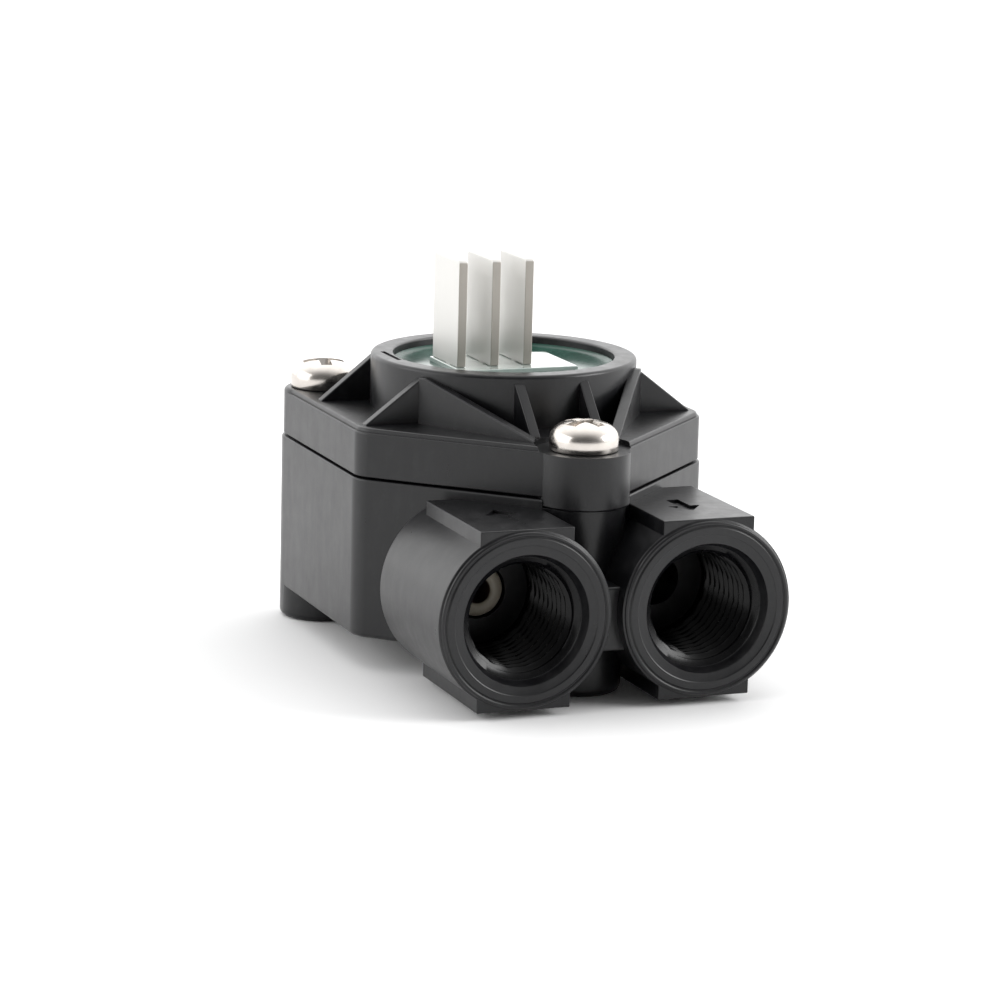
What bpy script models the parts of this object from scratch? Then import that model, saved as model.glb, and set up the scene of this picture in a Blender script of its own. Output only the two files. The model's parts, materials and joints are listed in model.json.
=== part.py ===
"""Turbine flow meter: a Pelton wheel in a plastic body, with a potted sensor board on top.

Dimensions are in millimetres and become metres through MM. The origin is the centre of
the footprint, on the surface that the feet stand on. The ports face -Y, +Z is up.
"""
from math import acos, cos, pi, radians, sin, sqrt

import bmesh
import bpy
from mathutils import Matrix, Vector

MM = 0.001
GAP = 0.3                     # left between pieces that touch

# Heights
FOOT_Z = 0.0
BASE_Z = 3.75                 # underside of the body, above its feet
PARTING_Z = 22.7              # where cover and body meet
SKIRT_Z = PARTING_Z - 0.9     # the cover's front boss reaches below the parting plane
COVER_TOP_Z = 28.55
FRONT_SEAT_Z = 27.95          # the front boss is lower than the plate round it
RING_TOP_Z = 34.85
PORT_Z = 11.25

# Outline of the body, seen from above
AXIS_Y = 7.55                 # the wheel's axis is at X = 0, Y = AXIS_Y
HALF_WIDTH = 21.95
BACK_Y = AXIS_Y + 21.7
NOSE_Y = AXIS_Y - 31.9        # where the two 45 degree walls would meet
BACK_RADIUS = 5.0
SHOULDER_RADIUS = 3.5
COVER_INSET = 0.2
BOSS_RADIUS = 4.95
FRONT_BOSS_RADIUS = 5.7       # the cover's front boss is wider than the pillar under it
FRONT_SCREW = (0.0, AXIS_Y - 25.4)
REAR_SCREW_X = 17.0
REAR_SCREW_Y = AXIS_Y + 16.7
SCREWS = {
    "screw_front": FRONT_SCREW,
    "screw_rear_left": (-REAR_SCREW_X, REAR_SCREW_Y),
    "screw_rear_right": (REAR_SCREW_X, REAR_SCREW_Y),
}

# Ports
PORT_X = 11.0
PORT_FACE_Y = AXIS_Y - 36.8
PORT_RADIUS = 10.35
PORT_BACK_Y = AXIS_Y - 17.0    # outboard of the nose wall, each port ends free here
FLAT_FACE_Y = PORT_FACE_Y + 0.4
FLAT_BACK_Y = AXIS_Y - 19.0
FLAT_HALF_WIDTH = 5.6
BORE_RADIUS = 5.9             # minor radius of a G 1/4 thread, at the wide end of its tolerance
BORE_END_Y = PORT_FACE_Y + 15.0
MOUTH = ((7.5, 0.0), (7.1, 1.3), (6.3, 2.3), (BORE_RADIUS, 3.0))    # (radius, depth) pairs
WEB_LOW_Z = PORT_Z - 4.7
WEB_HIGH_Z = PORT_Z + 2.7
WEB_FACE_Y = PORT_FACE_Y + 2.0
ARROW_DEPTH = 0.35

# Flow chamber, wheel and bearings
CHAMBER_RADIUS = 13.0
CHAMBER_FLOOR_Z = 6.45
SEAL_STEP_Z = 17.25
SEAL_RADIUS = 15.6
PLUG_RADIUS = 12.7
PLUG_Z = 16.65
SPIGOT_RADIUS = 15.3
SPIGOT_Z = 19.45
SEAL_SECTION = 1.6
SEAL_MAJOR_RADIUS = 14.3
JET_RADIUS = 1.8
OUTLET_RADIUS = 3.0
WHEEL_BOTTOM_Z = 7.55
WHEEL_TOP_Z = 15.25
WHEEL_RADIUS = 12.4
HUB_RADIUS = 7.2
PADDLES = 14
PADDLE_THICKNESS = 0.9
AXLE_RADIUS = 0.75
BEARING_BORE = 0.82
BEARING_RADIUS = 1.8
BEARING_LENGTH = 2.2
BEARING_DEPTH = 1.6           # depth of the blind hole for the axle's end
MAGNETS = 4
MAGNET_RADIUS = 1.25
MAGNET_LENGTH = 2.6
MAGNET_CIRCLE = 4.7

# Electronics well
RING_RADIUS = 15.9
WELL_RADIUS = 13.2
WELL_FLOOR_Z = 21.85
BOARD_SIZE = (15.0, 10.5, 1.6)
BOARD_TOP_Z = RING_TOP_Z - 1.0
POTTING_TOP_Z = RING_TOP_Z - 1.5
TAB_X = (-6.6, -2.4, 1.8)
TAB_FRONT = 3.2               # reach of a blade in front of the wheel's axis, and behind it
TAB_BACK = 5.2
TAB_CORNER = 0.3
TAB_THICKNESS = 1.1
TAB_TOP_Z = RING_TOP_Z + 11.7
TAIL_WIDTH = 1.6
TAIL_LENGTH = 2.2

# Screws
HEAD_RADIUS = 4.0
HEAD_HEIGHT = 3.1
HEAD_SIDE = 1.2               # upright part of the head's side
SHANK_RADIUS = 1.95
SHANK_END_Z = 8.45
SHANK_HOLE_RADIUS = 2.3
SHANK_HOLE_END_Z = 7.65
SEATS = {
    "screw_front": FRONT_SEAT_Z,
    "screw_rear_left": COVER_TOP_Z,
    "screw_rear_right": COVER_TOP_Z,
}


def clear_scene():
    for item in list(bpy.data.objects):
        bpy.data.objects.remove(item, do_unlink=True)


def material(name, colour, roughness, metallic=0.0):
    made = bpy.data.materials.new(name)
    made.use_nodes = True
    shader = made.node_tree.nodes["Principled BSDF"]
    shader.inputs["Base Color"].default_value = (*colour, 1.0)
    shader.inputs["Roughness"].default_value = roughness
    shader.inputs["Metallic"].default_value = metallic
    return made


def new_object(name, mesh_source):
    """Make an object from a bmesh given in millimetres."""
    bmesh.ops.scale(mesh_source, vec=(MM, MM, MM), verts=mesh_source.verts)
    bmesh.ops.recalc_face_normals(mesh_source, faces=mesh_source.faces)
    mesh = bpy.data.meshes.new(name)
    mesh_source.to_mesh(mesh)
    mesh_source.free()
    made = bpy.data.objects.new(name, mesh)
    bpy.context.scene.collection.objects.link(made)
    return made


def finish(made, look):
    made.data.materials.clear()
    made.data.materials.append(look)
    made.data.shade_smooth()
    made.data.set_sharp_from_angle(angle=radians(35))
    return made


def prism(points, low, high):
    """Extrude a closed outline in the XY plane from one height to another."""
    shape = bmesh.new()
    ring = [shape.verts.new((x, y, low)) for x, y in points]
    face = shape.faces.new(ring)
    risen = bmesh.ops.extrude_face_region(shape, geom=[face])
    moved = [v for v in risen["geom"] if isinstance(v, bmesh.types.BMVert)]
    bmesh.ops.translate(shape, vec=(0, 0, high - low), verts=moved)
    return shape


def box(low, high):
    points = [(low[0], low[1]), (high[0], low[1]), (high[0], high[1]), (low[0], high[1])]
    return prism(points, low[2], high[2])


def circle(centre, radius, sides):
    steps = [2 * pi * (k + 0.5) / sides for k in range(sides)]
    return [(centre[0] + radius * cos(a), centre[1] + radius * sin(a)) for a in steps]


def disc(centre, radius, low, high, sides=48):
    """An upright cylinder."""
    return prism(circle(centre, radius, sides), low, high)


def lying_disc(x, z, radius, front_y, back_y, sides=48):
    """A cylinder along Y."""
    shape = disc((0, 0), radius, 0, back_y - front_y, sides)
    place = Matrix.Translation((x, front_y, z)) @ Matrix.Rotation(-pi / 2, 4, "X")
    bmesh.ops.transform(shape, matrix=place, verts=shape.verts)
    return shape


def turned(profile, centre, sides=48):
    """Spin a closed profile of (radius, height) points about an upright axis."""
    shape = bmesh.new()
    rings = []
    for step in range(sides):
        angle = 2 * pi * (step + 0.5) / sides
        turn = (cos(angle), sin(angle))
        rings.append([shape.verts.new((centre[0] + r * turn[0], centre[1] + r * turn[1], z))
                      for r, z in profile])
    count = len(profile)
    for step in range(sides):
        here = rings[step]
        after = rings[(step + 1) % sides]
        for k in range(count):
            nearest = (k + 1) % count
            shape.faces.new((here[k], after[k], after[nearest], here[nearest]))
    bmesh.ops.remove_doubles(shape, verts=shape.verts, dist=1e-5)
    bmesh.ops.dissolve_degenerate(shape, edges=shape.edges, dist=1e-5)
    return shape


def rounded(corners, steps=5):
    """Round each corner (x, y, radius) of a convex outline that runs anticlockwise."""
    points = []
    count = len(corners)
    for k, (x, y, radius) in enumerate(corners):
        here = Vector((x, y))
        before = (Vector(corners[k - 1][:2]) - here).normalized()
        after = (Vector(corners[(k + 1) % count][:2]) - here).normalized()
        half = acos(max(-1.0, min(1.0, before.dot(after)))) / 2
        centre = here + (before + after).normalized() * radius / sin(half)
        start = here + before * radius * cos(half) / sin(half) - centre
        end = here + after * radius * cos(half) / sin(half) - centre
        turn = start.angle_signed(end)
        for step in range(steps + 1):
            arm = start.copy()
            arm.rotate(Matrix.Rotation(-turn * step / steps, 2))
            points.append(tuple(centre + arm))
    return points


def body_outline(inset):
    """The five-sided outline: square at the back, with a 45 degree nose."""
    side = HALF_WIDTH - inset
    nose = NOSE_Y + inset * sqrt(2)
    shoulder = nose + side
    back = BACK_Y - inset
    return rounded([
        (0.0, nose, BOSS_RADIUS - 0.4),
        (side, shoulder, SHOULDER_RADIUS),
        (side, back, BACK_RADIUS),
        (-side, back, BACK_RADIUS),
        (-side, shoulder, SHOULDER_RADIUS),
    ])


def cutter(made):
    made.hide_render = True
    made.display_type = "WIRE"
    return made


def combine(made, others, operation):
    """Join or cut with a list of bmesh shapes, through Boolean modifiers."""
    for k, shape in enumerate(others):
        other = cutter(new_object(f"{made.name}_{operation.lower()}_{k}", shape))
        step = made.modifiers.new(other.name, "BOOLEAN")
        step.operation = operation
        step.solver = "EXACT"
        step.object = other
    return made


def wedge(half_thickness, profile):
    """A thin upright plate: profile is (distance, height), extruded both ways in Y."""
    shape = prism(profile, -half_thickness, half_thickness)
    bmesh.ops.transform(shape, matrix=Matrix.Rotation(pi / 2, 4, "X"), verts=shape.verts)
    return shape


def rib(start, end, high, low, thickness, root=-1.6):
    """A sloping rib from start (height high) down to end (height low), on the cover."""
    run = Vector((end[0] - start[0], end[1] - start[1]))
    profile = [(root, COVER_TOP_Z - 0.8), (run.length, COVER_TOP_Z - 0.8),
               (run.length, low), (0.0, high), (root, high)]
    shape = wedge(thickness / 2, profile)
    turn = Matrix.Rotation(Vector((1, 0)).angle_signed(run) * -1, 4, "Z")
    place = Matrix.Translation((start[0], start[1], 0)) @ turn
    bmesh.ops.transform(shape, matrix=place, verts=shape.verts)
    return shape


def arrow(x, y, direction):
    """A plain flow arrow as a shallow cutter in the top flat of a port."""
    top = PORT_Z + PORT_RADIUS
    points = [(0, 3.0), (-2.0, 0.4), (-0.75, 0.4), (-0.75, -3.0),
              (0.75, -3.0), (0.75, 0.4), (2.0, 0.4)]
    placed = [(x + px * direction, y + py * direction) for px, py in points]
    return prism(placed, top - ARROW_DEPTH, top + 1.0)


def make_lower_housing(look):
    housing = new_object("lower_housing", prism(body_outline(0.0), BASE_Z, PARTING_Z - GAP / 2))
    added = []
    for centre in SCREWS.values():
        added.append(disc(centre, BOSS_RADIUS, FOOT_Z, PARTING_Z - GAP / 2, 32))
    for x in (-PORT_X, PORT_X):
        added.append(lying_disc(x, PORT_Z, PORT_RADIUS, PORT_FACE_Y, PORT_BACK_Y))
        added.append(box((x - FLAT_HALF_WIDTH, FLAT_FACE_Y, PORT_Z - PORT_RADIUS),
                         (x + FLAT_HALF_WIDTH, FLAT_BACK_Y, PORT_Z + PORT_RADIUS)))
    added.append(box((-PORT_X, WEB_FACE_Y, WEB_LOW_Z), (PORT_X, PORT_BACK_Y, WEB_HIGH_Z)))
    combine(housing, added, "UNION")

    centre = (0.0, AXIS_Y)
    cuts = [
        disc(centre, CHAMBER_RADIUS, CHAMBER_FLOOR_Z, PARTING_Z + 1, 64),
        disc(centre, SEAL_RADIUS, SEAL_STEP_Z, PARTING_Z + 1, 64),
        disc(centre, BEARING_RADIUS + GAP, CHAMBER_FLOOR_Z - 1.5, CHAMBER_FLOOR_Z + 1, 24),
        disc(FRONT_SCREW, FRONT_BOSS_RADIUS + GAP / 2, SKIRT_Z - GAP / 2, PARTING_Z + 1, 32),
    ]
    for x in (-PORT_X, PORT_X):
        cuts.append(lying_disc(x, PORT_Z, BORE_RADIUS, PORT_FACE_Y - 1, BORE_END_Y))
        mouth = turned([(0, -1), (MOUTH[0][0], -1), *MOUTH, (0, MOUTH[-1][1])], (0, 0))
        place = Matrix.Translation((x, PORT_FACE_Y, PORT_Z)) @ Matrix.Rotation(-pi / 2, 4, "X")
        bmesh.ops.transform(mouth, matrix=place, verts=mouth.verts)
        cuts.append(mouth)
    cuts.append(lying_disc(-PORT_X, PORT_Z, 3.1 + GAP, BORE_END_Y - 1, BORE_END_Y + 6.0, 32))
    cuts.append(lying_disc(-PORT_X, PORT_Z, JET_RADIUS, BORE_END_Y - 1, AXIS_Y, 24))
    cuts.append(lying_disc(PORT_X, PORT_Z, OUTLET_RADIUS, BORE_END_Y - 1, AXIS_Y, 32))
    cuts.append(arrow(-PORT_X, PORT_FACE_Y + 8.0, 1))
    cuts.append(arrow(PORT_X, PORT_FACE_Y + 8.0, -1))
    for x, y in SCREWS.values():
        cuts.append(disc((x, y), SHANK_HOLE_RADIUS, SHANK_HOLE_END_Z, PARTING_Z + 1, 24))
    combine(housing, cuts, "DIFFERENCE")
    return finish(housing, look)


def cover_ribs():
    """Four ribs to each side, two towards the front screw, two gusset walls beside them."""
    high = RING_TOP_Z - 0.9
    low = COVER_TOP_Z + 0.1
    made = []
    for side in (-1, 1):
        for offset in (7.7, -8.3):
            reach = sqrt(RING_RADIUS ** 2 - offset ** 2)
            made.append(rib((side * reach, AXIS_Y + offset), (side * 20.5, AXIS_Y + offset),
                            high, low, 1.3))
        reach = sqrt(RING_RADIUS ** 2 - 4.0 ** 2)
        made.append(rib((side * 4.0, AXIS_Y - reach), (side * 4.0, AXIS_Y - 20.8), high, low, 1.2))
        made.append(rib((side * 4.0, AXIS_Y + reach), (side * 4.0, AXIS_Y + 20.6), high, low, 1.2))
        made.append(rib((side * 13.1, AXIS_Y - 9.3), (side * 4.7, AXIS_Y - 23.0),
                        high, low, 1.3, -0.9))
    return made


def make_cover(look):
    top = COVER_TOP_Z
    bottom = PARTING_Z + GAP / 2
    cover = new_object("cover", prism(body_outline(COVER_INSET), bottom, top))
    centre = (0.0, AXIS_Y)
    added = [disc(c, BOSS_RADIUS - COVER_INSET, bottom, top, 32) for c in SCREWS.values()]
    seat = FRONT_SEAT_Z + 0.3
    added.append(disc(FRONT_SCREW, FRONT_BOSS_RADIUS, SKIRT_Z + GAP / 2, seat, 32))
    added.append(disc(centre, RING_RADIUS, top - 0.5, RING_TOP_Z, 64))
    added.append(disc(centre, SPIGOT_RADIUS, SPIGOT_Z, bottom + 0.5, 64))
    added.append(disc(centre, PLUG_RADIUS, PLUG_Z, SPIGOT_Z + 0.5, 64))
    combine(cover, added + cover_ribs(), "UNION")
    cuts = [
        disc(centre, WELL_RADIUS, WELL_FLOOR_Z, RING_TOP_Z + 1, 64),
        disc(centre, BEARING_RADIUS + GAP, PLUG_Z - 1, PLUG_Z + 2.3, 24),
        disc(FRONT_SCREW, FRONT_BOSS_RADIUS + 0.25, FRONT_SEAT_Z, RING_TOP_Z, 32),
    ]
    for x, y in SCREWS.values():
        cuts.append(disc((x, y), SHANK_HOLE_RADIUS, SKIRT_Z - 1, RING_TOP_Z, 24))
    combine(cover, cuts, "DIFFERENCE")
    return finish(cover, look)


def make_seal(look):
    height = SEAL_STEP_Z + GAP + SEAL_SECTION / 2
    half = SEAL_SECTION / 2
    profile = [(SEAL_MAJOR_RADIUS + half * cos(2 * pi * k / 8), height + half * sin(2 * pi * k / 8))
               for k in range(8)]
    return finish(new_object("cover_seal", turned(profile, (0.0, AXIS_Y), 48)), look)


def make_nozzle(look):
    """The jet: a collared tube with a fine bore and a countersunk mouth."""
    length = 5.6
    profile = [(1.2, 0.9), (2.1, 0.0), (2.7, 0.0), (3.1, 0.4), (3.1, length), (1.2, length)]
    shape = turned(profile, (0, 0), 32)
    place = Matrix.Translation((-PORT_X, BORE_END_Y, PORT_Z)) @ Matrix.Rotation(-pi / 2, 4, "X")
    bmesh.ops.transform(shape, matrix=place, verts=shape.verts)
    return finish(new_object("inlet_nozzle", shape), look)


def make_wheel(look):
    centre = (0.0, AXIS_Y)
    wheel = new_object("turbine_wheel",
                       disc(centre, HUB_RADIUS, WHEEL_BOTTOM_Z, WHEEL_TOP_Z - 0.4, 32))
    added = []
    for k in range(PADDLES):
        plate = box((HUB_RADIUS - 0.8, -PADDLE_THICKNESS / 2, WHEEL_BOTTOM_Z + 0.2),
                    (WHEEL_RADIUS, PADDLE_THICKNESS / 2, WHEEL_TOP_Z))
        place = Matrix.Translation((0, AXIS_Y, 0)) @ Matrix.Rotation(2 * pi * k / PADDLES, 4, "Z")
        bmesh.ops.transform(plate, matrix=place, verts=plate.verts)
        added.append(plate)
    combine(wheel, added, "UNION")
    cuts = [disc(centre, AXLE_RADIUS + 0.05, WHEEL_BOTTOM_Z - 1, WHEEL_TOP_Z + 1, 24)]
    for place in magnet_places():
        cuts.append(disc(place, MAGNET_RADIUS + GAP, WHEEL_TOP_Z - 0.4 - MAGNET_LENGTH - 0.6,
                         WHEEL_TOP_Z + 1, 20))
    combine(wheel, cuts, "DIFFERENCE")
    return finish(wheel, look)


def magnet_places():
    angles = [2 * pi * (k + 0.5) / MAGNETS for k in range(MAGNETS)]
    return [(MAGNET_CIRCLE * cos(a), AXIS_Y + MAGNET_CIRCLE * sin(a)) for a in angles]


def make_magnets(look):
    top = WHEEL_TOP_Z - 0.6
    return [finish(new_object(f"magnet_{k}", disc(place, MAGNET_RADIUS, top - MAGNET_LENGTH, top, 20)),
                   look)
            for k, place in enumerate(magnet_places(), 1)]


def make_axle(look):
    low = CHAMBER_FLOOR_Z - 1.2 + BEARING_LENGTH - BEARING_DEPTH + 0.1
    high = PLUG_Z + 2.0 - BEARING_LENGTH + BEARING_DEPTH - 0.1
    return finish(new_object("turbine_axle", disc((0, AXIS_Y), AXLE_RADIUS, low, high, 24)), look)


def make_bearing(name, open_z, direction, look):
    """A jewel cup whose blind hole faces the wheel; direction is +1 where it faces up."""
    profile = [(0.0, -BEARING_LENGTH), (BEARING_RADIUS, -BEARING_LENGTH),
               (BEARING_RADIUS, -0.3), (BEARING_RADIUS - 0.3, 0.0), (BEARING_BORE, 0.0),
               (BEARING_BORE, -BEARING_DEPTH), (0.0, -BEARING_DEPTH)]
    placed = [(r, open_z + direction * z) for r, z in profile]
    return finish(new_object(name, turned(placed, (0.0, AXIS_Y), 24)), look)


def make_board(look):
    """The sensor board, with a slot for the tail of each terminal."""
    half_x = BOARD_SIZE[0] / 2
    half_y = BOARD_SIZE[1] / 2
    board = new_object("circuit_board",
                       box((-half_x, AXIS_Y - half_y, BOARD_TOP_Z - BOARD_SIZE[2]),
                           (half_x, AXIS_Y + half_y, BOARD_TOP_Z)))
    cuts = []
    for x in TAB_X:
        cuts.append(box((x - TAB_THICKNESS / 2 - 0.15, AXIS_Y - TAIL_WIDTH / 2 - 0.2, BOARD_TOP_Z - 3),
                        (x + TAB_THICKNESS / 2 + 0.15, AXIS_Y + TAIL_WIDTH / 2 + 0.2,
                         BOARD_TOP_Z + 1)))
    combine(board, cuts, "DIFFERENCE")
    return finish(board, look)


def make_terminal(name, x, look):
    """A wide flat blade on a narrow tail through the board."""
    low = BOARD_TOP_Z + GAP
    tail = TAIL_WIDTH / 2
    outline = [(-tail, BOARD_TOP_Z - TAIL_LENGTH), (tail, BOARD_TOP_Z - TAIL_LENGTH), (tail, low),
               (TAB_BACK, low), (TAB_BACK, TAB_TOP_Z - TAB_CORNER),
               (TAB_BACK - TAB_CORNER, TAB_TOP_Z), (TAB_CORNER - TAB_FRONT, TAB_TOP_Z),
               (-TAB_FRONT, TAB_TOP_Z - TAB_CORNER), (-TAB_FRONT, low), (-tail, low)]
    shape = wedge(TAB_THICKNESS / 2, outline)
    place = Matrix.Translation((x, AXIS_Y, 0)) @ Matrix.Rotation(pi / 2, 4, "Z")
    bmesh.ops.transform(shape, matrix=place, verts=shape.verts)
    return finish(new_object(name, shape), look)


def make_hall_sensor(look):
    """A three-legged sensor standing on the well's floor under the board."""
    centre = (-4.6, AXIS_Y + 2.6)
    low = WELL_FLOOR_Z + GAP
    sensor = new_object("hall_sensor", box((centre[0] - 2.0, centre[1] - 0.75, low),
                                           (centre[0] + 2.0, centre[1] + 0.75, low + 3.0)))
    legs = []
    for step in (-1, 0, 1):
        x = centre[0] + 1.27 * step
        legs.append(box((x - 0.22, centre[1] - 0.2, low + 2.5),
                        (x + 0.22, centre[1] + 0.2, BOARD_TOP_Z - BOARD_SIZE[2] - GAP)))
    combine(sensor, legs, "UNION")
    return finish(sensor, look)


def make_chip(name, x, y, size, look):
    top = BOARD_TOP_Z - BOARD_SIZE[2] - GAP
    low = (x - size[0] / 2, AXIS_Y + y - size[1] / 2, top - size[2])
    high = (x + size[0] / 2, AXIS_Y + y + size[1] / 2, top)
    return finish(new_object(name, box(low, high)), look)


def make_potting(look):
    """Resin that fills the well round the board, the sensor's legs and the chips."""
    rim = WELL_RADIUS - GAP
    profile = [(0.0, WELL_FLOOR_Z + GAP), (rim, WELL_FLOOR_Z + GAP), (rim, RING_TOP_Z - 0.5),
               (rim - 0.7, RING_TOP_Z - 1.0), (rim - 2.2, POTTING_TOP_Z), (0.0, POTTING_TOP_Z)]
    potting = new_object("potting_compound", turned(profile, (0.0, AXIS_Y), 48))
    half_x = BOARD_SIZE[0] / 2 + GAP
    half_y = BOARD_SIZE[1] / 2 + GAP
    under = BOARD_TOP_Z - BOARD_SIZE[2] - GAP
    cuts = [
        box((-half_x, AXIS_Y - half_y, under), (half_x, AXIS_Y + half_y, RING_TOP_Z)),
        box((-7.5, AXIS_Y - 4.6, under - 1.6), (6.4, AXIS_Y + 4.0, RING_TOP_Z)),
        box((-7.0, AXIS_Y + 1.4, WELL_FLOOR_Z - 1), (-2.2, AXIS_Y + 3.8, RING_TOP_Z)),
    ]
    combine(potting, cuts, "DIFFERENCE")
    return finish(potting, look)


def make_screw(name, place, look):
    """Pan-head screw with a cross recess; the thread is left as a plain shank."""
    head_z = SEATS[name] + GAP
    dome = HEAD_HEIGHT - HEAD_SIDE
    head = [(0.0, SHANK_END_Z), (SHANK_RADIUS - 0.8, SHANK_END_Z),
            (SHANK_RADIUS, SHANK_END_Z + 1.6), (SHANK_RADIUS, head_z), (HEAD_RADIUS - 0.1, head_z),
            (HEAD_RADIUS, head_z + 0.3), (HEAD_RADIUS, head_z + HEAD_SIDE)]
    for k in range(1, 6):
        angle = pi / 2 * k / 6
        head.append((HEAD_RADIUS * cos(angle) ** 0.75,
                     head_z + HEAD_SIDE + dome * sin(angle) ** 0.85))
    head.append((0.0, head_z + HEAD_HEIGHT))
    screw = new_object(name, turned(head, place, 32))
    cuts = []
    for turn in (0, pi / 2):
        bar = box((-2.1, -0.45, head_z + 1.3), (2.1, 0.45, head_z + HEAD_HEIGHT + 1))
        at = Matrix.Translation((place[0], place[1], 0)) @ Matrix.Rotation(turn + pi / 5, 4, "Z")
        bmesh.ops.transform(bar, matrix=at, verts=bar.verts)
        cuts.append(bar)
    combine(screw, cuts, "DIFFERENCE")
    return finish(screw, look)


def build():
    clear_scene()
    black = material("glass_filled_plastic", (0.022, 0.022, 0.024), 0.55)
    natural = material("natural_plastic", (0.52, 0.48, 0.40), 0.45)
    white = material("wheel_plastic", (0.75, 0.74, 0.70), 0.4)
    rubber = material("seal_rubber", (0.02, 0.02, 0.02), 0.7)
    steel = material("nickel_steel", (0.75, 0.72, 0.68), 0.22, 1.0)
    axle_steel = material("axle_steel", (0.62, 0.62, 0.64), 0.25, 1.0)
    ferrite = material("ferrite", (0.05, 0.05, 0.055), 0.6)
    jewel = material("bearing_jewel", (0.55, 0.12, 0.16), 0.15)
    laminate = material("board_laminate", (0.42, 0.52, 0.45), 0.25)
    resin = material("potting_resin", (0.01, 0.05, 0.035), 0.1)
    tin = material("tinned_brass", (0.80, 0.78, 0.73), 0.25, 1.0)
    epoxy = material("chip_epoxy", (0.03, 0.03, 0.03), 0.5)
    ceramic = material("chip_ceramic", (0.45, 0.35, 0.24), 0.5)

    make_lower_housing(black)
    make_cover(black)
    make_seal(rubber)
    make_nozzle(natural)
    make_wheel(white)
    make_axle(axle_steel)
    make_magnets(ferrite)
    make_bearing("lower_bearing", CHAMBER_FLOOR_Z + 1.0, 1, jewel)
    make_bearing("upper_bearing", PLUG_Z - 0.2, -1, jewel)
    make_board(laminate)
    make_hall_sensor(epoxy)
    make_chip("pull_up_resistor", 4.0, 1.6, (2.0, 1.25, 0.6), epoxy)
    make_chip("smoothing_capacitor", 4.0, -2.6, (3.2, 1.6, 1.0), ceramic)
    make_potting(resin)
    for name, x in zip(("terminal_supply", "terminal_signal", "terminal_ground"), TAB_X):
        make_terminal(name, x, tin)
    for name, place in SCREWS.items():
        make_screw(name, place, steel)


build()
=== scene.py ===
"""Looks of the turbine flow meter: moulded housings, cut threads, resin, blades and screws.

Shapes are worked out in millimetres in the frame's own axes and become metres through MM.
"""
import json
from math import acos, cos, pi, radians, sin, sqrt

import bmesh
import bpy
from mathutils import Matrix, Vector


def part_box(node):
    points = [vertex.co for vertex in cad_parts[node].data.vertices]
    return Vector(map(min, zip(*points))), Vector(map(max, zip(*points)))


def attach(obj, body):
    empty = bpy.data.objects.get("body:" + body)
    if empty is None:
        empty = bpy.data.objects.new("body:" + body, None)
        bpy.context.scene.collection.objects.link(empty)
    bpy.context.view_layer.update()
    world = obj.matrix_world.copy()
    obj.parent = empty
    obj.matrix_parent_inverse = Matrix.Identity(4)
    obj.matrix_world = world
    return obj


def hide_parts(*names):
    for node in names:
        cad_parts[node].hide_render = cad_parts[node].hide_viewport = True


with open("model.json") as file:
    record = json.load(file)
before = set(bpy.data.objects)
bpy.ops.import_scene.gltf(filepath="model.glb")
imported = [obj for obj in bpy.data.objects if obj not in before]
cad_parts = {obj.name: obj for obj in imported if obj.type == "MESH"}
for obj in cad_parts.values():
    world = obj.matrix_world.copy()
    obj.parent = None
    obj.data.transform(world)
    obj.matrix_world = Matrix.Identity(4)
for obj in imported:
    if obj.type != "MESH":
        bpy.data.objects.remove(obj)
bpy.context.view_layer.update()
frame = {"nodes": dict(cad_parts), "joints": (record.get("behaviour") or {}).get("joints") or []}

MM = 0.001
HOUSING = "housing"
TERMINALS = ("terminal_supply", "terminal_signal", "terminal_ground")


def corner(node, which):
    """One corner of a CAD node's box, in millimetres: 0 is the lowest, 1 the highest."""
    return Vector(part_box(node)[which]) / MM


# Places read from the frame
BODY_LOW = corner("lower_housing", 0)
BODY_HIGH = corner("lower_housing", 1)
COVER_HIGH = corner("cover", 1)
BOARD_LOW = corner("circuit_board", 0)
BOARD_HIGH = corner("circuit_board", 1)
NOZZLE_LOW = corner("inlet_nozzle", 0)
NOZZLE_HIGH = corner("inlet_nozzle", 1)
AXIS_Y = frame["joints"][0]["pos_m"][1] / MM
RING_TOP_Z = COVER_HIGH.z
PORT_FACE_Y = BODY_LOW.y
PORT_X = -(NOZZLE_LOW.x + NOZZLE_HIGH.x) / 2
PORT_Z = (NOZZLE_LOW.z + NOZZLE_HIGH.z) / 2
HALF_WIDTH = BODY_HIGH.x
BACK_Y = BODY_HIGH.y

# Housing
BASE_Z = 3.75
PARTING_Z = 22.7
PARTING_GAP = 0.11
SKIRT_Z = PARTING_Z - 0.9
COVER_TOP_Z = 28.55
FRONT_SEAT_Z = 27.95
NOSE_Y = AXIS_Y - 31.9
BACK_RADIUS = 5.0
SHOULDER_RADIUS = 3.5
COVER_INSET = 0.2
BOSS_RADIUS = 4.95
FRONT_BOSS_RADIUS = 5.4         # the cover's front boss is wider than the pillar under it
REAR_SCREW_X = 17.0
SCREWS = {
    "screw_front": (0.0, AXIS_Y - 25.4),
    "screw_rear_left": (-REAR_SCREW_X, AXIS_Y + 16.7),
    "screw_rear_right": (REAR_SCREW_X, AXIS_Y + 16.7),
}
SEATS = {
    "screw_front": FRONT_SEAT_Z,
    "screw_rear_left": COVER_TOP_Z,
    "screw_rear_right": COVER_TOP_Z,
}
PORT_RADIUS = 10.35
PORT_BACK_Y = AXIS_Y - 17.0
FLAT_HALF_WIDTH = 5.6
FLAT_FACE_Y = PORT_FACE_Y + 0.4
FLAT_BACK_Y = AXIS_Y - 19.0
BORE_END = 15.0
MOUTH_RADIUS = 7.5
MOUTH_STEP = (7.12, 1.3)        # radius and depth where the mouth's steep wall turns inward
THREAD_START = (6.35, 1.75)     # radius and depth where the thread runs out into the mouth
THREAD_PITCH = 1.337
THREAD_MAJOR = 6.7
THREAD_MINOR = 5.95
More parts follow.
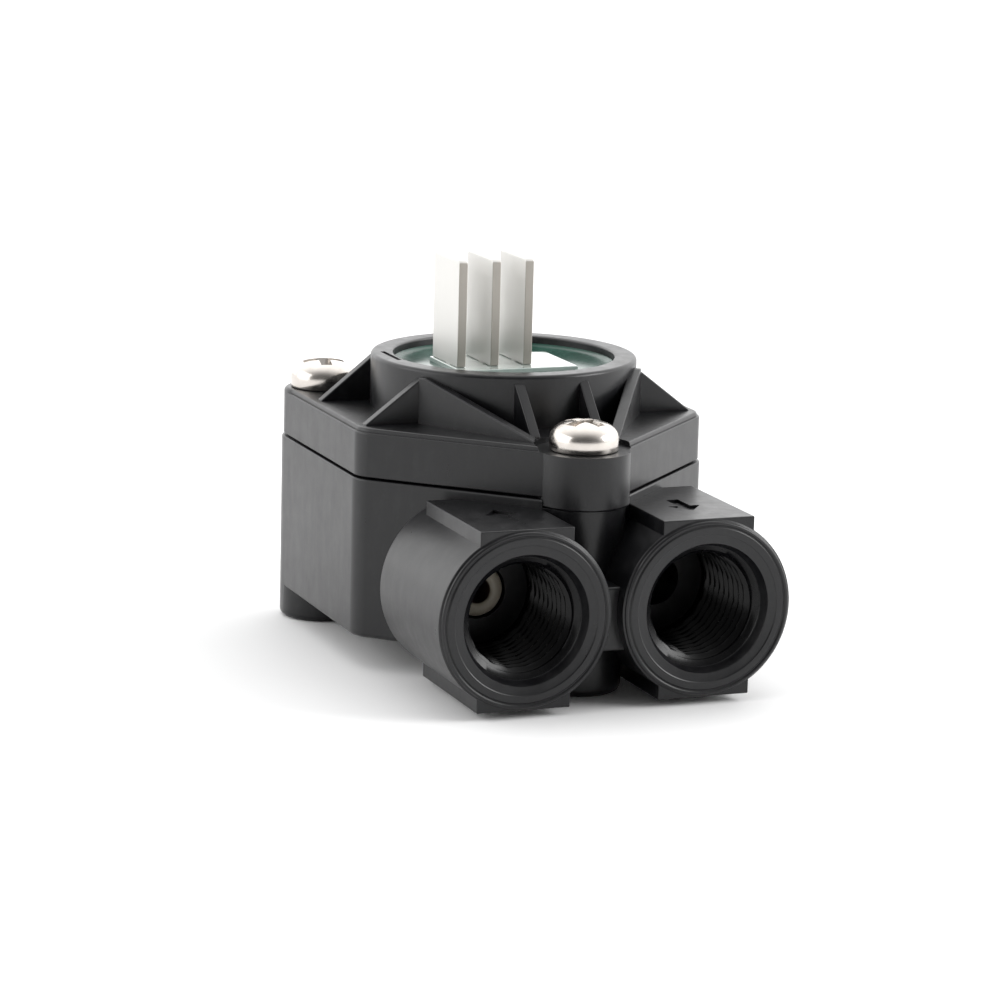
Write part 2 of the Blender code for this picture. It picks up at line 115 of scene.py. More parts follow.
THREAD_SLEEVE = 7.0
WEB_LOW_Z = PORT_Z - 4.7
WEB_HIGH_Z = PORT_Z + 2.7
WEB_FACE_Y = PORT_FACE_Y + 2.0
ARROW_Y = PORT_FACE_Y + 8.0
NOZZLE_POCKET = (3.25, 6.0)     # radius, and depth behind the bore's end
JET_RADIUS = 1.8
OUTLET_RADIUS = 3.0
CHAMBER_RADIUS = 13.0
CHAMBER_FLOOR_Z = 6.45
SEAL_STEP_Z = 17.25
SEAL_RADIUS = 15.6
RING_RADIUS = 15.9
WELL_RADIUS = 13.2
WELL_FLOOR_Z = 21.85
PLUG_RADIUS = 12.7
PLUG_Z = 16.65
SPIGOT_RADIUS = 15.3
SPIGOT_Z = 19.45
BEARING_POCKET = 2.1
SHANK_HOLE_RADIUS = 2.3
SHANK_HOLE_END_Z = 7.65
CENTRE = (0.0, AXIS_Y)


# ---------------------------------------------------------------- mesh tools

def to_object(name, shape, look, smooth_angle=38):
    """Make an object from a bmesh in millimetres."""
    bmesh.ops.scale(shape, vec=(MM, MM, MM), verts=shape.verts)
    bmesh.ops.recalc_face_normals(shape, faces=shape.faces)
    mesh = bpy.data.meshes.new(name)
    shape.to_mesh(mesh)
    shape.free()
    made = bpy.data.objects.new(name, mesh)
    bpy.context.scene.collection.objects.link(made)
    if look is not None:
        mesh.materials.append(look)
    mesh.shade_smooth()
    mesh.set_sharp_from_angle(angle=radians(smooth_angle))
    return made


def loft(rings):
    """Join rings of (x, y, z) points that have the same count, and close both ends."""
    shape = bmesh.new()
    loops = [[shape.verts.new(point) for point in ring] for ring in rings]
    count = len(loops[0])
    for low, high in zip(loops, loops[1:]):
        for k in range(count):
            after = (k + 1) % count
            shape.faces.new((low[k], low[after], high[after], high[k]))
    shape.faces.new(list(reversed(loops[0])))
    shape.faces.new(loops[-1])
    return shape


def quarter(radius, steps=4):
    """Insets and rises along a quarter-round edge, from the side to the flat."""
    turns = [pi / 2 * k / steps for k in range(steps + 1)]
    return [(radius * (1 - cos(a)), radius * sin(a)) for a in turns]


def moulded(outline, low, high, low_radius, high_radius):
    """A prism whose outline is a function of its inset, with rounded edges top and bottom."""
    levels = [(inset, low + low_radius - rise) for inset, rise in reversed(quarter(low_radius))]
    levels += [(inset, high - high_radius + rise) for inset, rise in quarter(high_radius)]
    return loft([[(x, y, z) for x, y in outline(inset)] for inset, z in levels])


def circle(centre, radius, sides):
    """Points round a circle, anticlockwise."""
    steps = [2 * pi * (k + 0.5) / sides for k in range(sides)]
    return [(centre[0] + radius * cos(a), centre[1] + radius * sin(a)) for a in steps]


def disc(centre, radius, low, high, sides=64, low_round=0.0, high_round=0.0):
    """An upright cylinder, with rounded ends where a radius is given."""
    if low_round == 0.0 and high_round == 0.0:
        return loft([[(x, y, z) for x, y in circle(centre, radius, sides)] for z in (low, high)])
    return moulded(lambda inset: circle(centre, radius - inset, sides), low, high,
                   max(low_round, 0.01), max(high_round, 0.01))


def turned(profile, centre=(0.0, 0.0), sides=96):
    """Spin a closed profile of (radius, height) points about an upright axis."""
    shape = bmesh.new()
    rings = []
    for step in range(sides):
        angle = 2 * pi * (step + 0.5) / sides
        turn = (cos(angle), sin(angle))
        rings.append([shape.verts.new((centre[0] + r * turn[0], centre[1] + r * turn[1], z))
                      for r, z in profile])
    count = len(profile)
    for here, after in zip(rings, rings[1:] + rings[:1]):
        for k in range(count):
            following = (k + 1) % count
            shape.faces.new((here[k], after[k], after[following], here[following]))
    bmesh.ops.remove_doubles(shape, verts=shape.verts, dist=1e-5)
    bmesh.ops.dissolve_degenerate(shape, edges=shape.edges, dist=1e-5)
    return shape


def lay_down(shape, x, front_y, z):
    """Turn a shape whose axis is Z so that its height runs along +Y from front_y."""
    place = Matrix.Translation((x, front_y, z)) @ Matrix.Rotation(-pi / 2, 4, "X")
    bmesh.ops.transform(shape, matrix=place, verts=shape.verts)
    return shape


def box(low, high, bevel=0.0):
    """A box, with all its edges rounded where a bevel is given."""
    points = [(low[0], low[1]), (high[0], low[1]), (high[0], high[1]), (low[0], high[1])]
    shape = loft([[(x, y, z) for x, y in points] for z in (low[2], high[2])])
    return soften(shape, bevel)


def soften(shape, bevel, segments=3):
    """Round all edges of a shape where a bevel is given."""
    if bevel > 0:
        bmesh.ops.bevel(shape, geom=list(shape.edges), offset=bevel, offset_type="OFFSET",
                        segments=segments, profile=0.5, affect="EDGES", clamp_overlap=True)
    return shape


def rounded(corners, steps=8):
    """Round each corner (x, y, radius) of a convex outline that runs anticlockwise."""
    points = []
    count = len(corners)
    for k, (x, y, radius) in enumerate(corners):
        here = Vector((x, y))
        before = (Vector(corners[k - 1][:2]) - here).normalized()
        after = (Vector(corners[(k + 1) % count][:2]) - here).normalized()
        half = acos(max(-1.0, min(1.0, before.dot(after)))) / 2
        centre = here + (before + after).normalized() * radius / sin(half)
        start = here + before * radius * cos(half) / sin(half) - centre
        end = here + after * radius * cos(half) / sin(half) - centre
        turn = start.angle_signed(end)
        for step in range(steps + 1):
            arm = start.copy()
            arm.rotate(Matrix.Rotation(-turn * step / steps, 2))
            points.append(tuple(centre + arm))
    return points


def body_outline(inset):
    """The five-sided outline: square at the back, with a 45 degree nose."""
    side = HALF_WIDTH - inset
    nose = NOSE_Y + inset * sqrt(2)
    back = BACK_Y - inset
    return rounded([
        (0.0, nose, BOSS_RADIUS - 0.4 - inset),
        (side, nose + side, SHOULDER_RADIUS - inset),
        (side, back, BACK_RADIUS - inset),
        (-side, back, BACK_RADIUS - inset),
        (-side, nose + side, SHOULDER_RADIUS - inset),
    ])


def combine(made, shapes, operation):
    """Join or cut an object with bmesh shapes, one exact Boolean each, and apply them."""
    for shape in shapes:
        other = to_object(made.name + "_tool", shape, None)
        step = made.modifiers.new("step", "BOOLEAN")
        step.operation = operation
        step.solver = "EXACT"
        step.object = other
        apply_modifiers(made)
        bpy.data.objects.remove(other, do_unlink=True)
    return made


def apply_modifiers(made):
    """Replace an object's mesh with what its modifiers make of it."""
    graph = bpy.context.evaluated_depsgraph_get()
    mesh = bpy.data.meshes.new_from_object(made.evaluated_get(graph))
    made.modifiers.clear()
    old = made.data
    made.data = mesh
    bpy.data.meshes.remove(old)


def finish_shading(made, smooth_angle=38):
    """Smooth the round stretches and keep the flats flat."""
    made.data.shade_smooth()
    made.data.set_sharp_from_angle(angle=radians(smooth_angle))
    weights = made.modifiers.new("flat_faces_lead", "WEIGHTED_NORMAL")
    weights.keep_sharp = True
    weights.weight = 100
    return made


def place(made, body, slot, *nodes):
    """Tie a piece to its body and hide the CAD nodes it stands for; slot is not used."""
    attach(made, body)
    if nodes:
        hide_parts(*nodes)
    return made


# ---------------------------------------------------------------- materials

class Look:
    """A Principled material with short calls for the nodes that feed it."""

    def __init__(self, name, colour, roughness, metallic=0.0):
        self.made = bpy.data.materials.new(name)
        self.made.use_nodes = True
        self.nodes = self.made.node_tree.nodes
        self.shader = self.nodes["Principled BSDF"]
        self.set("Base Color", (*colour, 1.0))
        self.set("Roughness", roughness)
        self.set("Metallic", metallic)
        self.coordinates = self.nodes.new("ShaderNodeTexCoord")

    def set(self, socket, value):
        self.shader.inputs[socket].default_value = value

    def link(self, source, target):
        self.made.node_tree.links.new(source, target)

    def noise(self, scale, detail=4.0, roughness=0.6, stretch=(1.0, 1.0, 1.0)):
        """Noise by the object's own coordinates; scale is in features per metre."""
        mapping = self.nodes.new("ShaderNodeMapping")
        mapping.inputs["Scale"].default_value = stretch
        self.link(self.coordinates.outputs["Object"], mapping.inputs["Vector"])
        texture = self.nodes.new("ShaderNodeTexNoise")
        texture.inputs["Scale"].default_value = scale
        texture.inputs["Detail"].default_value = detail
        texture.inputs["Roughness"].default_value = roughness
        self.link(mapping.outputs["Vector"], texture.inputs["Vector"])
        return texture.outputs["Fac"]

    def distance(self, axes, point, reach):
        """How far the surface is from a point, along the chosen axes, as a share of reach."""
        across = self.nodes.new("ShaderNodeMapping")
        across.inputs["Scale"].default_value = axes
        self.link(self.coordinates.outputs["Object"], across.inputs["Vector"])
        apart = self.nodes.new("ShaderNodeVectorMath")
        apart.operation = "DISTANCE"
        apart.inputs[1].default_value = point
        self.link(across.outputs["Vector"], apart.inputs[0])
        share = self.nodes.new("ShaderNodeMapRange")
        share.inputs["From Max"].default_value = reach
        self.link(apart.outputs["Value"], share.inputs["Value"])
        return share.outputs["Result"]

    def ramp(self, source, stops):
        """Map a value through (position, colour or grey) stops."""
        ramp = self.nodes.new("ShaderNodeValToRGB")
        while len(ramp.color_ramp.elements) < len(stops):
            ramp.color_ramp.elements.new(0.5)
        for element, (position, value) in zip(ramp.color_ramp.elements, stops):
            element.position = position
            colour = value if isinstance(value, tuple) else (value, value, value)
            element.color = (*colour, 1.0)
        self.link(source, ramp.inputs["Fac"])
        return ramp.outputs["Color"]

    def add(self, first, second, share):
        mix = self.nodes.new("ShaderNodeMix")
        mix.data_type = "FLOAT"
        mix.inputs["Factor"].default_value = share
        self.link(first, mix.inputs["A"])
        self.link(second, mix.inputs["B"])
        return mix.outputs["Result"]

    def colour(self, source, stops):
        self.link(self.ramp(source, stops), self.shader.inputs["Base Color"])

    def roughness(self, source, low, high):
        self.link(self.ramp(source, [(0.3, low), (0.7, high)]), self.shader.inputs["Roughness"])

    def bump(self, source, strength, distance):
        bump = self.nodes.new("ShaderNodeBump")
        bump.inputs["Strength"].default_value = strength
        bump.inputs["Distance"].default_value = distance
        self.link(source, bump.inputs["Height"])
        self.link(bump.outputs["Normal"], self.shader.inputs["Normal"])


def glass_filled_plastic():
    """Black moulding compound: fine grain, and grey streaks where the fibres lie."""
    look = Look("glass_filled_plastic", (0.006, 0.006, 0.007), 0.34)
    grain = look.noise(4200, 3.0, 0.65)
    mottle = look.noise(420, 5.0, 0.7)
    streaks = look.noise(700, 4.0, 0.6, (1.0, 1.0, 0.25))
    blend = look.add(mottle, streaks, 0.5)
    look.colour(blend, [(0.30, (0.003, 0.003, 0.004)), (0.52, (0.006, 0.006, 0.007)),
                        (0.74, (0.014, 0.014, 0.015))])
    look.roughness(blend, 0.26, 0.40)
    look.bump(look.add(grain, mottle, 0.35), 0.3, 0.000016)
    look.set("Specular IOR Level", 0.42)
    return look.made


def shaded_bore_plastic():
    """The same compound in the ports' threads, smoother, with painted shade: a near-black colour deep
    in the bore.
    """
    # painted shade: the threads get a darker colour than the rest of the housing
    look = Look("shaded_bore_plastic", (0.002, 0.002, 0.0025), 0.24)
    mottle = look.noise(420, 5.0, 0.7)
    look.colour(mottle, [(0.3, (0.0015, 0.0015, 0.002)), (0.7, (0.003, 0.003, 0.0035))])
    look.roughness(mottle, 0.20, 0.30)
    look.bump(look.noise(4200, 3.0, 0.65), 0.2, 0.00001)
    look.set("Specular IOR Level", 0.22)
    return look.made


def seal_rubber():
    look = Look("seal_rubber", (0.02, 0.02, 0.02), 0.6)
    grain = look.noise(2600)
    look.roughness(grain, 0.5, 0.75)
    look.bump(grain, 0.2, 0.00003)
    return look.made


def natural_plastic(name, dark, light):
    look = Look(name, light, 0.42)
    cloud = look.noise(500, 4.0, 0.6)
    look.colour(cloud, [(0.3, dark), (0.7, light)])
    look.roughness(cloud, 0.34, 0.5)
    look.bump(look.noise(3500), 0.15, 0.00004)
    return look.made


def nozzle_plastic():
    """Unpigmented plastic, with painted shade inside the jet's bore: dark brown there."""
    look = Look("natural_plastic", (0.44, 0.40, 0.32), 0.42)
    far = look.distance((1.0, 0.0, 1.0), (-PORT_X * MM, 0.0, PORT_Z * MM), 3.0 * MM)
    # painted shade: dark brown within 1.5 mm of the jet's axis, inside its bore
    shaded_bore_edge = 0.5
    look.colour(far, [(shaded_bore_edge - 0.02, (0.03, 0.012, 0.01)),
                      (shaded_bore_edge + 0.02, (0.44, 0.40, 0.32))])
    look.roughness(look.noise(500, 4.0, 0.6), 0.34, 0.5)
    look.bump(look.noise(3500), 0.15, 0.00004)
    return look.made


def metal(name, dark, light, low, high, stretch=(1.0, 1.0, 1.0), scale=900, depth=0.00002):
    """Metal with soft blotches of tarnish and fine drawn lines."""
    look = Look(name, light, low, 1.0)
    lines = look.noise(scale, 4.0, 0.6, stretch)
    cloud = look.noise(350, 3.0, 0.5)
    both = look.add(lines, cloud, 0.5)
    look.colour(both, [(0.3, dark), (0.7, light)])
    look.roughness(both, low, high)
    look.bump(lines, 0.15, depth)
    return look.made


def blade_tin():
    """Satin tinned brass, with painted shade on the narrow edges: a darker brass colour there."""
    look = Look("tinned_brass", (0.68, 0.67, 0.645), 0.46, 0.35)
    front_y = corner("terminal_signal", 0).y
    back_y = corner("terminal_signal", 1).y
    half_width = (back_y - front_y) / 2
    reach = half_width + 0.4
    painted_shade_band = 0.08
    middle = (0.0, (front_y + back_y) / 2 * MM, 0.0)
    far = look.distance((0.0, 1.0, 0.0), middle, reach * MM)
    edge = (half_width - painted_shade_band) / reach
    # painted shade: the outer 0.08 mm at front and back, the narrow edges, take a darker colour
    look.colour(far, [(edge - 0.01, (0.68, 0.67, 0.645)), (edge + 0.01, (0.38, 0.355, 0.32))])
    lines = look.noise(900, 4.0, 0.6, (1.0, 1.0, 0.2))
    look.roughness(look.add(lines, look.noise(350, 3.0, 0.5), 0.5), 0.40, 0.52)
    look.bump(lines, 0.15, 0.000003)
    return look.made


def ferrite():
    look = Look("ferrite", (0.06, 0.06, 0.065), 0.5)
    grain = look.noise(3000, 5.0, 0.7)
    look.colour(grain, [(0.35, (0.035, 0.035, 0.04)), (0.65, (0.09, 0.09, 0.095))])
    look.roughness(grain, 0.4, 0.65)
    look.bump(grain, 0.4, 0.00004)
    return look.made


def jewel():
    look = Look("bearing_jewel", (0.45, 0.05, 0.09), 0.08)
    cloud = look.noise(600, 2.0)
    look.colour(cloud, [(0.3, (0.36, 0.03, 0.06)), (0.7, (0.52, 0.08, 0.12))])
    look.set("Coat Weight", 0.5)
    return look.made


def board_laminate():
    """Lacquered laminate under a thin skin of clear resin."""
    look = Look("board_laminate", (0.46, 0.53, 0.50), 0.08)
    weave = look.noise(1500, 3.0, 0.5)
    look.colour(weave, [(0.3, (0.42, 0.50, 0.47)), (0.7, (0.50, 0.56, 0.53))])
    look.roughness(weave, 0.06, 0.12)
    look.bump(look.noise(200, 1.0, 0.3), 0.05, 0.00005)
    look.set("Coat Weight", 1.0)
    look.set("Coat Roughness", 0.05)
    return look.made


def potting_resin():
    """Dark green cast resin, glossy, with a slow wave in its surface."""
    look = Look("potting_resin", (0.03, 0.085, 0.065), 0.12)
    cloud = look.noise(240, 4.0, 0.6)
    look.colour(cloud, [(0.3, (0.022, 0.068, 0.05)), (0.7, (0.04, 0.105, 0.082))])
    look.roughness(cloud, 0.08, 0.2)
    look.bump(look.noise(180, 2.0, 0.4), 0.2, 0.00008)
    return look.made


def chip_epoxy():
    look = Look("chip_epoxy", (0.03, 0.03, 0.032), 0.5)
    grain = look.noise(3200)
    look.roughness(grain, 0.4, 0.6)
    look.bump(grain, 0.3, 0.00003)
    return look.made


def chip_ceramic():
    look = Look("chip_ceramic", (0.45, 0.35, 0.24), 0.45)
    grain = look.noise(2400)
    look.colour(grain, [(0.3, (0.38, 0.28, 0.18)), (0.7, (0.5, 0.4, 0.28))])
    look.roughness(grain, 0.35, 0.55)
    return look.made


# ---------------------------------------------------------------- lower housing

def port_solid(x):
    """One port's outside: a sunk sealing face, a fine groove and ridge, and a soft rim."""
    length = PORT_BACK_Y - PORT_FACE_Y
    rim = PORT_RADIUS
    profile = [(0.0, 0.10), (8.46, 0.10), (8.56, 0.06), (8.62, 0.01), (8.70, 0.0), (9.36, 0.0),
               (9.44, 0.05), (9.52, 0.14), (9.60, 0.14), (9.67, 0.06), (9.75, 0.015), (9.84, 0.0),
               (9.94, 0.025), (10.03, 0.09), (10.08, 0.18), (10.10, 0.30), (10.15, 0.34)]
    for inset, rise in reversed(quarter(0.2)):
        profile.append((rim - inset, 0.54 - rise))
    for inset, rise in quarter(0.3):
        profile.append((rim - inset, length - 0.3 + rise))
    profile.append((0.0, length))
    return lay_down(turned(profile, sides=144), x, PORT_FACE_Y, PORT_Z)


def port_flats(x):
    low = (x - FLAT_HALF_WIDTH, FLAT_FACE_Y, PORT_Z - PORT_RADIUS)
    high = (x + FLAT_HALF_WIDTH, FLAT_BACK_Y, PORT_Z + PORT_RADIUS)
    return box(low, high, 0.14)


def bore_cutter(x):
    """The mouth, and behind it a bore wide enough to take the threaded sleeve."""
    profile = [(0.0, -1.0), (MOUTH_RADIUS + 0.5, -1.0), (MOUTH_RADIUS + 0.5, -0.1),
               (MOUTH_RADIUS + 0.12, 0.10), (MOUTH_RADIUS + 0.03, 0.13), (MOUTH_RADIUS - 0.02, 0.2),
               (MOUTH_STEP[0] + 0.03, MOUTH_STEP[1] - 0.1), (MOUTH_STEP[0] - 0.03, MOUTH_STEP[1]),
               (THREAD_SLEEVE, MOUTH_STEP[1] + 0.12), (THREAD_SLEEVE, BORE_END), (0.0, BORE_END)]
    return lay_down(turned(profile, sides=144), x, PORT_FACE_Y, PORT_Z)


def arrow(x, y, direction):
    """A plain flow arrow as a shallow cutter in the top flat of a port."""
    top = PORT_Z + PORT_RADIUS
    depth = 0.35
    points = [(0, 3.0), (-2.0, 0.4), (-0.75, 0.4), (-0.75, -3.0),
              (0.75, -3.0), (0.75, 0.4), (2.0, 0.4)]
    placed = [(x + px * direction, y + py * direction) for px, py in points]
    return loft([[(px, py, z) for px, py in placed] for z in (top - depth, top + 1.0)])


def thread_radius(depth, phase):
    """The thread's inner surface: phase 0.5 is a crest, and the crests grow in from the mouth."""
    crest = max(THREAD_MINOR, THREAD_START[0] - 0.45 * (depth - THREAD_START[1]))
    grown = min(1.0, 0.35 + (depth - THREAD_START[1]) / THREAD_PITCH, (BORE_END - depth) / 1.2)
    valley = min(1.0, max(0.0, abs(phase - 0.5) * 2.9 - 0.22)) * max(0.0, grown)
    return crest + (THREAD_MAJOR - crest) * valley


def thread_sleeve(x):
    """A tube whose inside is the end of the mouth's cone and then the helical thread."""
    across = 120
    steps_a_pitch = 16
    length = BORE_END - THREAD_START[1]
    rows = int(length / THREAD_PITCH * steps_a_pitch)
    outer = THREAD_SLEEVE + 0.03
    cone_top = MOUTH_STEP[1] + 0.06
    levels = [(outer, BORE_END), (outer, cone_top), (THREAD_SLEEVE + 0.005, cone_top)]
    levels += [(None, THREAD_START[1] + length * row / rows) for row in range(rows + 1)]
    shape = bmesh.new()
    rings = []
    for plain_radius, depth in levels:
        ring = []
        for step in range(across):
            angle = 2 * pi * step / across
            phase = (depth / THREAD_PITCH + step / across) % 1.0
            radius = plain_radius or thread_radius(depth, phase)
            ring.append(shape.verts.new((radius * cos(angle), radius * sin(angle), depth)))
        rings.append(ring)
    for here, after in zip(rings, rings[1:] + rings[:1]):
        for k in range(across):
            following = (k + 1) % across
            shape.faces.new((here[k], here[following], after[following], after[k]))
    return lay_down(shape, x, PORT_FACE_Y, PORT_Z)


def join_mesh(made, shape, look):
    """Add a closed shape to an object's mesh as it is, with its own finish."""
    extra = to_object("extra", shape, look, 28)
    if look.name not in made.data.materials:
        made.data.materials.append(look)
    slot = made.data.materials.find(look.name)
    for face in extra.data.polygons:
        face.material_index = slot
    both = bmesh.new()
    both.from_mesh(made.data)
    both.from_mesh(extra.data)
    both.to_mesh(made.data)
    both.free()
    bpy.data.objects.remove(extra, do_unlink=True)


def lower_housing(look, bore_shade_look):
    """The body: box with bosses and ports, then its chamber, bores, arrows and screw holes."""
    top = PARTING_Z - PARTING_GAP
    made = to_object("housing_moulding", moulded(body_outline, BASE_Z, top, 0.55, 0.22), look)
    added = [disc(c, BOSS_RADIUS, BODY_LOW.z, top, 64, 0.8, 0.22) for c in SCREWS.values()]
    for x in (-PORT_X, PORT_X):
        added.append(port_solid(x))
        added.append(port_flats(x))
    added.append(box((-PORT_X, WEB_FACE_Y, WEB_LOW_Z), (PORT_X, PORT_BACK_Y, WEB_HIGH_Z), 0.3))
    combine(made, added, "UNION")

    cuts = [
        disc(CENTRE, CHAMBER_RADIUS, CHAMBER_FLOOR_Z, PARTING_Z + 1, 128, 0.5),
        disc(CENTRE, SEAL_RADIUS, SEAL_STEP_Z, PARTING_Z + 1, 128),
        disc(CENTRE, BEARING_POCKET, CHAMBER_FLOOR_Z - 1.5, CHAMBER_FLOOR_Z + 1, 48),
        disc(SCREWS["screw_front"], FRONT_BOSS_RADIUS + 0.1, SKIRT_Z - PARTING_GAP, PARTING_Z + 1, 64),
    ]
    back = PORT_FACE_Y + BORE_END
    for x in (-PORT_X, PORT_X):
        cuts.append(bore_cutter(x))
    overlap = 0.5
    for x, radius, reach in ((-PORT_X, NOZZLE_POCKET[0], back + NOZZLE_POCKET[1]),
                             (-PORT_X, JET_RADIUS, AXIS_Y),
                             (PORT_X, OUTLET_RADIUS, AXIS_Y)):
        tube = disc((0, 0), radius, 0, reach - back + overlap, 64)
        cuts.append(lay_down(tube, x, back - overlap, PORT_Z))
    cuts.append(arrow(-PORT_X, ARROW_Y, 1))
    cuts.append(arrow(PORT_X, ARROW_Y, -1))
    for centre in SCREWS.values():
        cuts.append(disc(centre, SHANK_HOLE_RADIUS, SHANK_HOLE_END_Z, PARTING_Z + 1, 48))
    combine(made, cuts, "DIFFERENCE")
    for x in (-PORT_X, PORT_X):
        # the threads take the material with painted shade
        join_mesh(made, thread_sleeve(x), bore_shade_look)
    finish_shading(made, 32)
    place(made, HOUSING, "housing", "lower_housing")


# ---------------------------------------------------------------- cover

def plate(half_thickness, profile, bevel):
    """A thin upright plate: profile is (distance, height), extruded both ways in Y."""
    shape = loft([[(x, z, side) for x, z in profile] for side in (-half_thickness, half_thickness)])
    bmesh.ops.transform(shape, matrix=Matrix.Rotation(pi / 2, 4, "X"), verts=shape.verts)
    return soften(shape, bevel)


def rib(start, end, thickness, root=-1.6):
    """A sloping rib from just under the ring's top down to the cover's top face."""
    run = Vector((end[0] - start[0], end[1] - start[1]))
    high = RING_TOP_Z - 0.9
    low = COVER_TOP_Z + 0.1
    profile = [(root, COVER_TOP_Z - 0.8), (run.length, COVER_TOP_Z - 0.8),
               (run.length, low), (0.0, high), (root, high)]
    shape = plate(thickness / 2, profile, 0.16)
    turn = Matrix.Rotation(-Vector((1, 0)).angle_signed(run), 4, "Z")
    at = Matrix.Translation((start[0], start[1], 0)) @ turn
    bmesh.ops.transform(shape, matrix=at, verts=shape.verts)
    return shape


def cover_ribs():
    """On each side two ribs run outward, one forward, one back and one slantwise to the front boss."""
    made = []
    side_end = 20.5
    middle = 4.0
    for side in (-1, 1):
        for offset in (7.7, -8.3):
            reach = sqrt(RING_RADIUS ** 2 - offset ** 2)
            start = (side * reach, AXIS_Y + offset)
            made.append(rib(start, (side * side_end, AXIS_Y + offset), 1.3))
        reach = sqrt(RING_RADIUS ** 2 - middle ** 2)
        made.append(rib((side * middle, AXIS_Y - reach), (side * middle, AXIS_Y - 20.8), 1.2))
        made.append(rib((side * middle, AXIS_Y + reach), (side * middle, AXIS_Y + 20.6), 1.2))
        made.append(rib((side * 13.1, AXIS_Y - 9.3), (side * 4.7, AXIS_Y - 23.0), 1.3, -0.9))
    return made


def cover_plate():
    """The plate, with a narrow step round its top edge."""
    bottom = PARTING_Z + PARTING_GAP
    step_z = COVER_TOP_Z - 0.5
    levels = [(COVER_INSET + inset, bottom + 0.18 - rise)
              for inset, rise in reversed(quarter(0.18))]
    levels += [(COVER_INSET + inset, step_z - 0.2 + rise) for inset, rise in quarter(0.2)]
    levels += [(COVER_INSET + 0.3, step_z)]
    levels += [(COVER_INSET + 0.3 + inset, COVER_TOP_Z - 0.35 + rise)
               for inset, rise in quarter(0.35)]
    return loft([[(x, y, z) for x, y in body_outline(inset)] for inset, z in levels])


def ring_solid():
    """The collar round the well, with a soft outer rim."""
    profile = [(0.0, COVER_TOP_Z - 0.5), (RING_RADIUS, COVER_TOP_Z - 0.5)]
    for inset, rise in quarter(0.45, 5):
        profile.append((RING_RADIUS - inset, RING_TOP_Z - 0.45 + rise))
    profile.append((0.0, RING_TOP_Z))
    return turned(profile, CENTRE, 160)


def well_cutter():
    """The well, with a softly opened rim."""
    profile = [(0.0, WELL_FLOOR_Z), (WELL_RADIUS, WELL_FLOOR_Z), (WELL_RADIUS, RING_TOP_Z - 0.3),
               (WELL_RADIUS + 0.08, RING_TOP_Z - 0.12), (WELL_RADIUS + 0.3, RING_TOP_Z),
               (WELL_RADIUS + 0.5, RING_TOP_Z + 1.0), (0.0, RING_TOP_Z + 1.0)]
    return turned(profile, CENTRE, 160)


def index_mark():
    """A slim slot in the ring's top, which shows which way round the cover goes."""
    depth = 0.25
    low = (-14.2, AXIS_Y - 1.9, RING_TOP_Z - depth)
    high = (-13.65, AXIS_Y + 4.1, RING_TOP_Z + 1.0)
    return box(low, high)


def cover(look):
    """The cover: plate, bosses, collar, spigot and ribs, then its well and screw holes."""
    bottom = PARTING_Z + PARTING_GAP
    made = to_object("cover_moulding", cover_plate(), look)
    added = [disc(c, BOSS_RADIUS - COVER_INSET, bottom, COVER_TOP_Z, 64, 0.18, 0.5)
             for c in SCREWS.values()]
    added.append(disc(SCREWS["screw_front"], FRONT_BOSS_RADIUS, SKIRT_Z, FRONT_SEAT_Z + 0.3, 64, 0.2))
    added.append(ring_solid())
    added.append(disc(CENTRE, SPIGOT_RADIUS, SPIGOT_Z, bottom + 0.5, 128, 0.3))
    added.append(disc(CENTRE, PLUG_RADIUS, PLUG_Z, SPIGOT_Z + 0.5, 128, 0.4))
    combine(made, added + cover_ribs(), "UNION")
    cuts = [
        well_cutter(),
        index_mark(),
        disc(CENTRE, BEARING_POCKET, PLUG_Z - 1, PLUG_Z + 2.3, 48),
        disc(SCREWS["screw_front"], FRONT_BOSS_RADIUS + 0.25, FRONT_SEAT_Z, RING_TOP_Z, 64),
    ]
    for centre in SCREWS.values():
        cuts.append(disc(centre, SHANK_HOLE_RADIUS, SKIRT_Z - 1, RING_TOP_Z, 48))
    combine(made, cuts, "DIFFERENCE")
    finish_shading(made, 32)
    place(made, HOUSING, "housing", "cover")


# ---------------------------------------------------------------- electronics

def potting(look):
    """Resin that climbs the wall a little and sags towards the board."""
    rim = WELL_RADIUS - 0.02
    wall_z = RING_TOP_Z - 0.9
    flat_z = RING_TOP_Z - 1.5
    floor_z = WELL_FLOOR_Z + 0.02
    profile = [(0.0, floor_z), (rim, floor_z)]
    for k in range(9):
        climb = (1 - k / 8) ** 4
        profile.append((rim - 3.2 * k / 8, flat_z + (wall_z - flat_z) * climb))
    profile.append((0.0, flat_z))
    made = to_object("cast_resin", turned(profile, CENTRE, 128), look)
    slack = 0.02
    under = BOARD_LOW.z - slack
    chips_low = corner("smoothing_capacitor", 0).z - slack
    sensor_low = corner("hall_sensor", 0)
    sensor_high = corner("hall_sensor", 1)
    cuts = [
        box((BOARD_LOW.x - slack, BOARD_LOW.y - slack, under),
            (BOARD_HIGH.x + slack, BOARD_HIGH.y + slack, RING_TOP_Z)),
        box((-7.4, BOARD_LOW.y + 0.6, chips_low), (6.4, BOARD_HIGH.y - 0.6, RING_TOP_Z)),
        box((sensor_low.x - 0.1, sensor_low.y - 0.1, sensor_low.z - 0.1),
            (sensor_high.x + 0.1, sensor_high.y + 0.1, RING_TOP_Z)),
    ]
    combine(made, cuts, "DIFFERENCE")
    finish_shading(made)
    place(made, HOUSING, "potting", "potting_compound")


